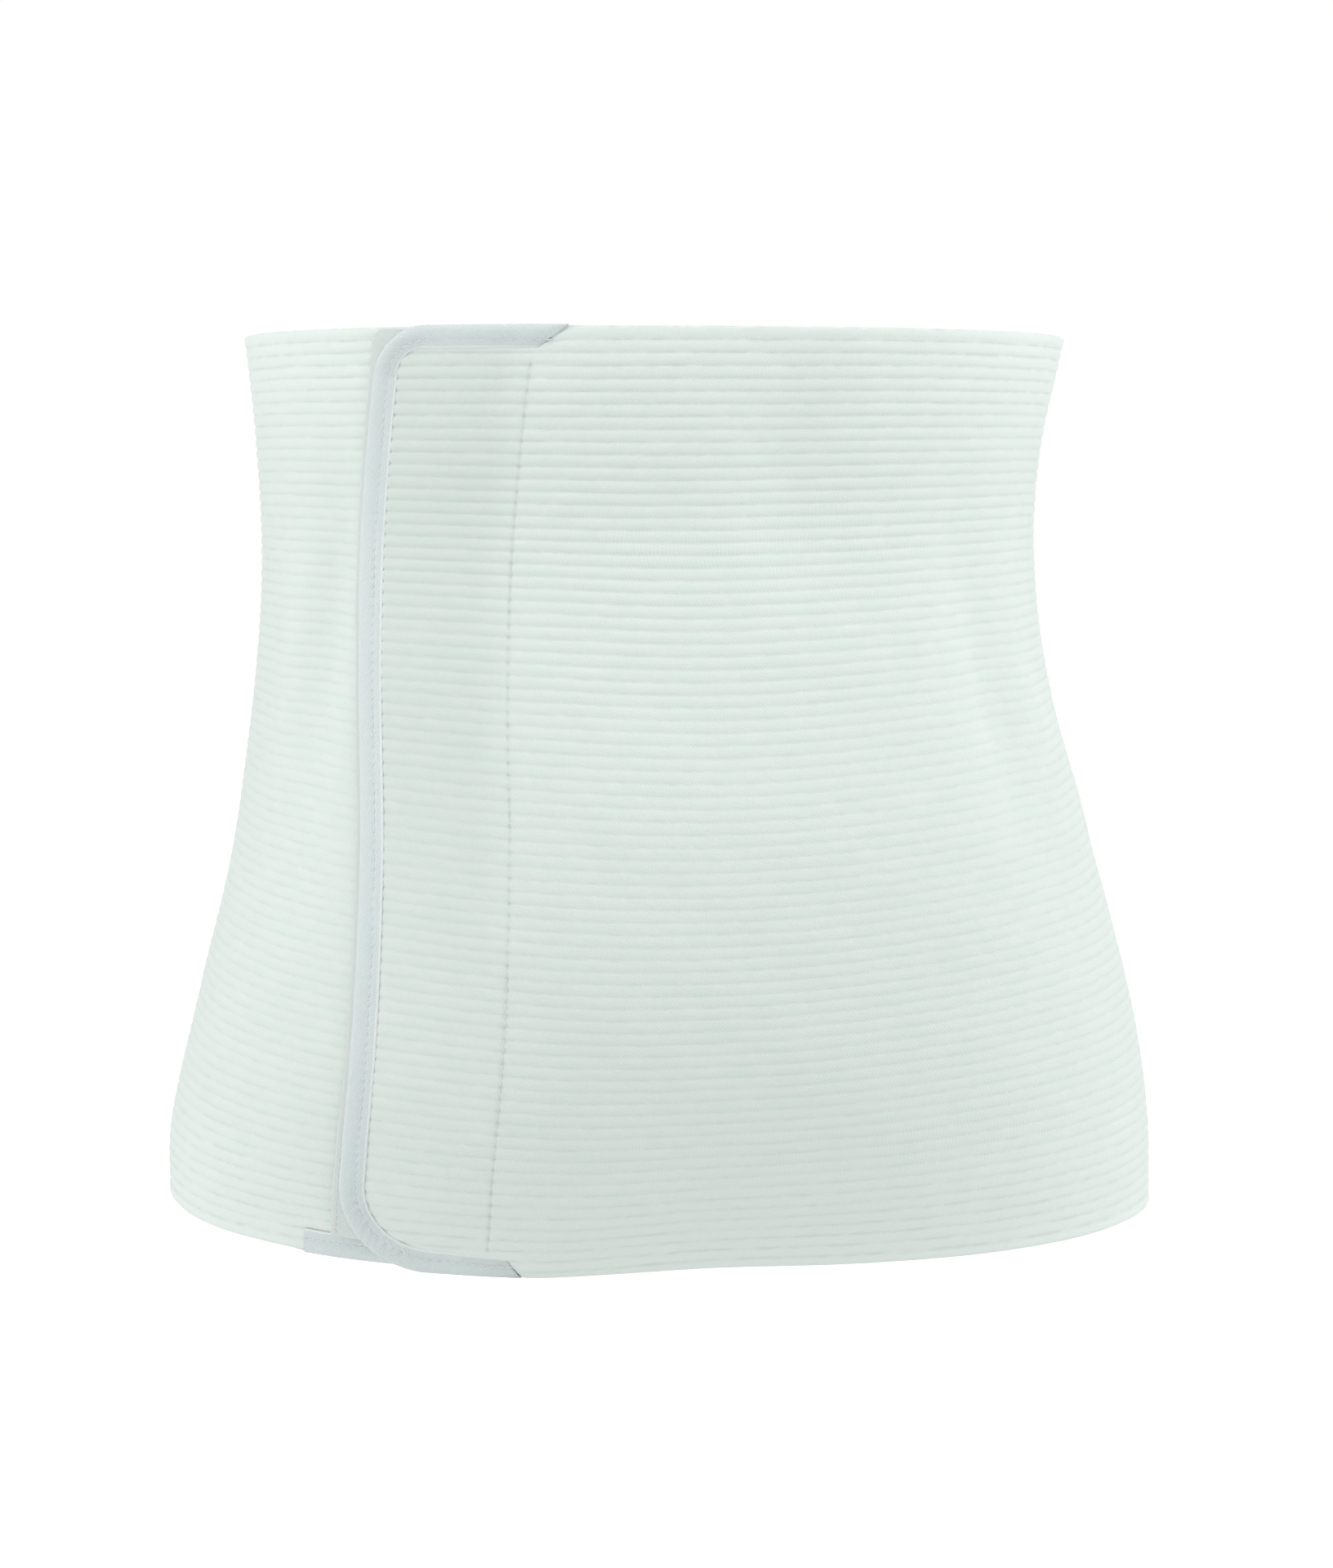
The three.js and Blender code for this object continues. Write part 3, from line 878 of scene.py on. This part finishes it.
def gridIndex(start, rows, columns):
    return start + np.arange(rows * columns).reshape(rows, columns)


def gridFaces(index, flipped=False):
    quads = [index[:-1, :-1], index[:-1, 1:], index[1:, 1:], index[1:, :-1]]
    if flipped:
        quads.reverse()
    return np.stack(quads, axis=-1).reshape(-1, 4).tolist()


def makeRibTree():
    tree, given = newGeometryTree("ribs", ["Height variation", "Variation size", "Waviness"])
    scaled = tree.scaledVector(named(tree, "clothAt", "FLOAT_VECTOR"), 1 / given["Variation size"])
    uneven = tree.noise(scaled, 1.0, 3.0, 0.55)
    wave = tree.noise(scaled, 0.35, 1.0)
    count = named(tree, "ribCount") + (wave - 0.5) * given["Waviness"] * 2.0
    phase = count.math("FRACT", count)
    fromGroove = 1.0 - (2.0 * phase - 1.0).absolute()
    crest = 1.0 - (1.0 - fromGroove) ** band["crestRoundness"]
    size = 1.0 + (uneven - 0.5) * given["Height variation"] * 2.0
    rise = crest * named(tree, "ribDepth") * size * metre
    offset = tree.scaledVector(named(tree, "outward", "FLOAT_VECTOR"), rise)
    moved = tree.node("GeometryNodeSetPosition", {}, {"Geometry": given["Geometry"], "Offset": offset})
    kept = tree.node(
        "GeometryNodeStoreNamedAttribute",
        {"data_type": "FLOAT", "domain": "POINT"},
        {"Geometry": moved, "Name": "ribHeight", "Value": crest * size},
    )
    closeTree(tree, kept, given["Material"])
    return tree


def innerPlaces(rows):
    # The inner face has fewer rows than the outer, but all of those at the long edges
    spare = len(band["edgeRows"])
    fromEnds = [(place, min(place, len(rows) - 1 - place)) for place in range(len(rows))]
    return [place for place, steps in fromEnds if place % band["innerEvery"] == 0 or steps <= spare]


def makeBand():
    rows = bandRows()
    keep = innerPlaces(rows)
    outer = bandFace(rows, True)
    inner = bandFace(rows[keep], False)
    columns = outer[0].shape[1]
    innerStart = outer[0].size
    faces = gridFaces(gridIndex(0, len(rows), columns))
    faces += gridFaces(gridIndex(innerStart, len(keep), columns), flipped=True)
    for column in range(columns - 1):  # the two long edges
        top = innerStart + column
        faces.append([column + 1, column, top, top + 1])
        hem = (len(rows) - 1) * columns + column
        low = innerStart + (len(keep) - 1) * columns + column
        faces.append([hem, hem + 1, low + 1, low])
    for place in range(len(keep) - 1):  # the two ends, several outer rows to one inner row
        steps = range(keep[place], keep[place + 1] + 1)
        for column, flipped in ((0, False), (columns - 1, True)):
            upper = innerStart + place * columns + column
            ring = [row * columns + column for row in steps] + [upper + columns, upper]
            faces.append(ring[::-1] if flipped else ring)
    arc, down, points, normals, depth, seam, flapShadeOverStrip = (
        np.concatenate([first.reshape(-1, *first.shape[2:]), second.reshape(-1, *second.shape[2:])])
        for first, second in zip(outer, inner)
    )
    attributes = {
        "ribCount": down / ribPitch,
        "ribDepth": depth,
        "seamShare": seam,
        "flapShadeOverStrip": flapShadeOverStrip,
        "outward": normals,
        "clothAt": np.stack([arc, down, 0 * arc], axis=-1),
    }
    cloth = np.stack([arc, down], axis=-1)
    piece = newPiece("elastic_band", points, faces, cloth, attributes=attributes)
    values = {
        "Height variation": band["variation"],
        "Variation size": band["variationSize"],
        "Waviness": band["waviness"],
        "Material": materials["elastic"],
    }
    runTree(piece, makeRibTree(), values)
    for label in ("ribCount", "ribDepth", "outward", "clothAt"):
        piece.data.attributes.remove(piece.data.attributes[label])
    return piece


elasticBand = makeBand()
print("elastic band:", len(elasticBand.data.polygons), "faces")


# Binding tapes, folded over both ends of the band

def tapePath(end, line):
    # Places along the band's end with the way into the cloth, the share of the tape's width that there
    # is room for, and how far the fold goes on past the inner border
    rows = []
    width = closing["tapeWidth"]
    side, topCorner, hemCorner = end["side"], end["cornerTop"], end["cornerHem"]

    def add(inset, down, inward, downward, room, further=0.0):
        edge = line(down) - side * inset
        rows.append((edge, down, -side * inward, downward, min(1.0, room / width), -side * further))

    def slanted(inset, edge):
        return end["slant" + edge] * max(0, 1 - (end["run" + edge] - inset) / tape["slantLength"])

    def straight(first, last):
        return np.linspace(first, last, max(2, int(abs(last - first) / tape["step"]) + 1))

    def quarter(radius):
        turns = np.linspace(0, np.pi / 2, max(4, int(radius * np.pi / 2 / tape["step"])))
        return [(math.sin(turn), math.cos(turn)) for turn in turns[1:-1]]

    for inset in straight(end["runTop"], topCorner):
        add(inset, 0, 0, 1, min(inset, width * closing["topShare"]), slanted(inset, "Top"))
    for sine, cosine in quarter(topCorner):
        down = topCorner * (1 - cosine)
        room = min(topCorner, width * float(tapeShare(end, down)))
        add(topCorner * (1 - sine), down, sine, cosine, room)
    for down in straight(topCorner, height - hemCorner):
        add(0, down, 1, 0, min(down, height - down))
    for sine, cosine in quarter(hemCorner):
        inset = hemCorner * (1 - cosine)
        down = height - hemCorner * (1 - sine) - hemRise(end, inset) * sine
        add(inset, down, cosine, -sine, hemCorner)
    for inset in straight(hemCorner, end["runHem"]):
        add(inset, height - hemRise(end, inset), 0, -1, inset, slanted(inset, "Hem"))
    return np.array(rows, float)


def onTape(path, inset, lift):
    # Points at one inset along a path, straight on past the edge where the inset is negative
    arc, down, inArc, inDown, room, further = path.T
    arc = arc + further * min(1, max(0, 1 - inset / closing["tapeWidth"]))
    depth = np.where(inset > 0, inset * room, 0)
    point, normal = clothPlace(arc + depth * inArc, down + depth * inDown, lift)
    past = min(inset, 0)
    if past:
        inner, _ = clothPlace(arc + inArc, down + inDown, lift)
        point = point + past * (inner - point)
    return point, normal


def tapeRelief(length, inset, corners):
    # Stitches pull the tape in, and it gathers where it turns a corner
    pull = np.abs(np.cos(np.pi * length / tape["stitchPitch"])) ** 6
    fromStitch = (inset - tape["stitchInset"]) / tape["pinchReach"]
    relief = -tape["pinch"] * pull * math.exp(-(fromStitch ** 2))
    slant = length + inset * tape["gatherSlant"]
    gather = sum(share * np.sin(2 * np.pi * slant / pitch + start) for share, pitch, start in tape["gathers"])
    share = math.exp(-(((inset - tape["gatherInset"]) / tape["gatherReach"]) ** 2))
    slow = tape["slowWave"] * np.sin(length * 0.21 + 0.8) * np.sin(length * 0.057)
    return relief + tape["gatherOut"] * share * gather * (tape["gatherOnRuns"] + corners) + slow * share


def cornerShares(path):
    # 1 where the path turns a corner, and 0 on its straight runs
    turning = np.minimum(1, np.abs(path[:, 2] * path[:, 3]) * 3.0)
    spread = 9
    return np.convolve(turning, np.ones(spread) / spread, mode="same")


def makeTape(name, end, path, lift):
    onFold, _ = onTape(path, 0, lift + 1)
    steps = np.linalg.norm(np.diff(onFold, axis=0), axis=1)
    lengths = np.concatenate([[0], np.cumsum(steps)])
    corners = cornerShares(path)
    fromEnds = np.minimum(lengths, lengths[-1] - lengths)
    flatness = tape["flatShare"] * (1 - smoothStep(0, tape["flatLength"], fromEnds))
    profile = tape["outerSkin"] + tape["insideSkin"]
    rings, cloth = [], []
    across = 0
    for place, (inset, out) in enumerate(profile):
        outerLeg = place < tape["skinEnd"]
        relief = tapeRelief(lengths, inset, corners) if outerLeg and 0 < place else 0
        if outerLeg and out > end["flatOut"]:
            relief = relief * (1 - flatness) - flatness * (out - end["flatOut"])
        points, _ = onTape(path, inset, lift + out + relief)
        rings.append(points)
        if place:
            across += math.hypot(inset - profile[place - 1][0], out - profile[place - 1][1])
        fromFold = closing["tapeWidth"] + 1 - across
        cloth.append(np.stack([lengths, np.full(len(lengths), fromFold)], axis=-1))
    points = np.stack(rings, axis=1)
    cloth = np.stack(cloth, axis=1)
    count, ring = points.shape[:2]
    index = gridIndex(0, count, ring)
    faces = gridFaces(np.hstack([index, index[:, :1]]))
    faces += [index[0, ::-1].tolist(), index[-1].tolist()]
    if end["side"] < 0:
        faces = [face[::-1] for face in faces]
    piece = newPiece(name, points.reshape(-1, 3), faces, cloth.reshape(-1, 2))
    piece.data.materials.append(materials["tape"])
    return piece


flapPath = tapePath(flapEnd, flapLine)
underPath = tapePath(underEnd, underLine)
flapTape = makeTape("flap_tape", flapEnd, flapPath, closing["flapLift"])
underTape = makeTape("under_tape", underEnd, underPath, 0.0)
print("tapes ready")


# Closing strip between the flap and the band under it

strip = {
    "rows": 200,
    "columns": 30,
    "crowding": 0.125,  # of the rows and columns towards the rim
    "inner": 2.0,  # from the under end's edge
    "corner": 4.0,
    "edgeRound": 0.5,
    "rimShare": 0.2,
    "waveOut": 0.18,  # slow waves behind the flap
    "waveFade": (8.0, 2.0),  # in from the strip's edge
    "stitchInset": 1.8,
}


def stripEdge(down):
    # Its upper corner is rounded, less than the flap's is
    rounding = cornerInset(strip["corner"], down - closing["stripInset"])
    return flapLine(down) + closing["stripReach"] - rounding


def makeStrip():
    def crowded(count):
        even = np.linspace(0, 1, count)
        return even - strip["crowding"] * np.sin(2 * np.pi * even)

    first = closing["stripInset"]
    last = height - closing["stripInsetHem"]
    down = np.repeat(blendOf(first, last, crowded(strip["rows"]))[:, None], strip["columns"], axis=1)
    left = underLine(down) + endInset(underEnd, down) + strip["inner"]
    right = stripEdge(down)
    arc = blendOf(left, right, crowded(strip["columns"])[None, :])
    fromRim = np.minimum(np.minimum(down - first, last - down), np.minimum(arc - left, right - arc))
    share = roundedShare(fromRim, strip["edgeRound"])
    half = closing["stripThick"] / 2 * blendOf(strip["rimShare"], 1, share)
    middle = closing["stripLift"] + closing["stripThick"] / 2
    wave = strip["waveOut"] * np.sin(down * 0.19 + 0.4) * np.sin(down * 0.043 + 1.0)
    wave = wave * smoothStep(*strip["waveFade"], right - arc)
    outer, _ = clothPlace(arc, down, middle + half + wave)
    inner, _ = clothPlace(arc, down, middle - half + wave)
    rows, columns = arc.shape
    start = arc.size
    index = gridIndex(0, rows, columns)
    faces = gridFaces(index) + gridFaces(start + index, flipped=True)
    sides = [index[:, 0], index[-1, 1:], index[-2::-1, -1], index[0, -2:0:-1]]
    rim = np.concatenate(sides).tolist()
    for corner, after in zip(rim, rim[1:] + rim[:1]):
        faces.append([corner, after, start + after, start + corner])
    points = np.concatenate([outer.reshape(-1, 3), inner.reshape(-1, 3)])
    cloth = np.tile(np.stack([arc, down], axis=-1).reshape(-1, 2), (2, 1))
    piece = newPiece("closing_strip", points, faces, cloth)
    piece.data.materials.append(materials["strip"])
    return piece


closingStrip = makeStrip()
print("closing strip ready")


# Stitches

stitch = {
    "gap": 0.6,
    "segments": 6,
    "rings": 4,
    # length and thickness of one stitch
    "tape": (2.4, 0.42),
    "seam": (2.1, 0.28),
    "strip": (2.0, 0.32),
    "seamInset": 13.0,  # from the long edges
    "seamOut": 0.08,
    "stripInsets": (8.0, 11.0),  # from the upper edge and from the hem
    "stripOut": 0.02,
    "places": 200,  # of the lines that the seam and the strip are sewn along
}


def makeStitchTree():
    tree, given = newGeometryTree("stitches", ["Stitch length", "Stitch gap", "Thread thickness"])
    curve = tree.node("GeometryNodeMeshToCurve", {}, {"Mesh": given["Geometry"]})
    spaced = tree.node(
        "GeometryNodeResampleCurve",
        {"mode": "LENGTH"},
        {"Curve": curve, "Length": given["Stitch length"] + given["Stitch gap"]},
    )
    tangent = tree.node("GeometryNodeInputTangent", {}, {})
    lengthways = tree.node("FunctionNodeAlignRotationToVector", {"axis": "X"}, {"Vector": tangent})
    upright = tree.node(
        "FunctionNodeAlignRotationToVector",
        {"axis": "Z", "pivot_axis": "X"},
        {"Rotation": lengthways, "Vector": named(tree, "outward", "FLOAT_VECTOR")},
    )
    beadSizes = {"Segments": stitch["segments"], "Rings": stitch["rings"], "Radius": 0.5}
    bead = tree.node("GeometryNodeMeshUVSphere", {}, beadSizes)
    thick = given["Thread thickness"]
    size = tree.vectorOf(given["Stitch length"], thick, thick)
    inputs = {"Points": spaced, "Instance": bead, "Rotation": upright, "Scale": size}
    placed = tree.node("GeometryNodeInstanceOnPoints", {}, inputs)
    smooth = tree.node("GeometryNodeSetShadeSmooth", {}, {"Geometry": placed})
    closeTree(tree, smooth, given["Material"])
    return tree


stitchTree = makeStitchTree()


def makeStitches(name, kind, points, normals):
    length, thick = stitch[kind]
    edges = [(place, place + 1) for place in range(len(points) - 1)]
    piece = newPiece(name, points, [], edges=edges, attributes={"outward": normals})
    values = {
        "Stitch length": length * metre,
        "Stitch gap": stitch["gap"] * metre,
        "Thread thickness": thick * metre,
        "Material": materials["thread"],
    }
    return runTree(piece, stitchTree, values)


def tapeStitches(name, path, lift):
    return makeStitches(name, "tape", *onTape(path, tape["stitchInset"], lift + tape["stitchOut"]))


def seamStitches():
    down = np.linspace(stitch["seamInset"], height - stitch["seamInset"], stitch["places"])
    lift = closing["flapLift"] + band["grooveOut"] + stitch["seamOut"]
    arc = flapEndArc(down) - seamFromEnd(down)
    return makeStitches("seam_stitches", "seam", *clothPlace(arc, down, lift))


def stripStitches():
    fromTop, fromHem = stitch["stripInsets"]
    down = np.linspace(fromTop, height - fromHem, stitch["places"])
    lift = closing["stripLift"] + closing["stripThick"] + stitch["stripOut"]
    arc = stripEdge(down) - strip["stitchInset"]
    return makeStitches("strip_stitches", "strip", *clothPlace(arc, down, lift))


stitches = [
    tapeStitches("flap_tape_stitches", flapPath, closing["flapLift"]),
    tapeStitches("under_tape_stitches", underPath, 0.0),
    seamStitches(),
    stripStitches(),
]
print("stitches:", [len(piece.data.polygons) for piece in stitches])


# Room and light

room = {
    "floorLevel": -0.80,
    "floorSize": 24.0,
    "floorColour": (0.94, 0.945, 0.95, 1),
    "floorGrain": (0.9, 0.9, 0.9, 1),
    "grainShare": 0.02,
    "grainScale": 3.0,
    "floorGlow": 0.6,
    "worldShown": 1.0,
    "worldLight": 0.57,
    "worldBelow": 0.85,  # light thrown back by the pale floor
    "worldColour": (1.0, 1.0, 1.0, 1),
}


def makeFloor():
    half = room["floorSize"] / 2 / metre
    level = room["floorLevel"] / metre
    corners = [(-half, -half, level), (half, -half, level), (half, half, level), (-half, half, level)]
    floor = newPiece("floor", corners, [[0, 1, 2, 3]])
    material, tree, shader = newMaterial("paleFloor", {"Roughness": 1.0, "Specular IOR Level": 0.0})
    place = tree.node("ShaderNodeTexCoord", {}, {}, "Object")
    grain = tree.noise(place, room["grainScale"]) * room["grainShare"]
    colour = tree.mixColours(grain, room["floorColour"], room["floorGrain"])
    tree.nodeTree.links.new(colour.socket, shader.inputs["Base Color"])
    shader.inputs["Emission Color"].default_value = (1, 1, 1, 1)
    shader.inputs["Emission Strength"].default_value = room["floorGlow"]
    floor.data.materials.append(material)
    floor.visible_diffuse = False  # the world lights the binder's underside


def makeWorld():
    world = bpy.data.worlds.new("softRoom")
    world.use_nodes = True
    tree = Tree(world.node_tree)
    ground = world.node_tree.nodes["Background"]
    ground.inputs["Color"].default_value = room["worldColour"]
    shown = tree.node("ShaderNodeLightPath", {}, {}, "Is Camera Ray")
    direction = tree.node("ShaderNodeTexCoord", {}, {}, "Generated")
    upward = tree.node("ShaderNodeSeparateXYZ", {}, {0: direction}, 2)
    below = (0.5 - 4.0 * upward).clipped()
    light = room["worldLight"] + (room["worldBelow"] - room["worldLight"]) * below
    strength = light + (room["worldShown"] - light) * shown
    world.node_tree.links.new(strength.socket, ground.inputs["Strength"])
    scene.world = world


lamps = [
    # name, place, aim, size, watts
    ("leftLight", (-1.6, -0.55, 0.5), (0, 0, -0.08), 1.3, 9.8),
    ("rightLight", (1.6, -0.45, 0.5), (0, 0, -0.08), 1.3, 9.7),
    ("topLight", (0.15, -0.75, 1.7), (0, -0.05, -0.05), 1.2, 9.0),
    ("backLight", (0.2, 1.8, 1.0), (0, 0, -0.05), 1.6, 12.5),
]


def makeLamp(name, place, aim, size, watts):
    data = bpy.data.lights.new(name, "AREA")
    data.shape = "DISK"
    data.size = size
    data.energy = watts
    lamp = bpy.data.objects.new(name, data)
    lamp.location = place
    lamp.rotation_euler = (Vector(aim) - Vector(place)).to_track_quat("-Z", "Y").to_euler()
    scene.collection.objects.link(lamp)


makeFloor()
makeWorld()
for lampRow in lamps:
    makeLamp(*lampRow)
scene.view_settings.view_transform = "Standard"
print("room and light ready")


# What the pieces stand for

finished = [
    (elasticBand, "elastic", ["elastic_panel"]),
    (flapTape, "binding_tape", ["flap_end_binding"]),
    (underTape, "binding_tape", ["under_end_binding"]),
    (closingStrip, "closing_strip", ["hook_strip"]),
] + [(piece, "binding_tape", []) for piece in stitches]
for piece, slotName, nodes in finished:
    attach(piece, "root")
    if nodes:
        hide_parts(*nodes)
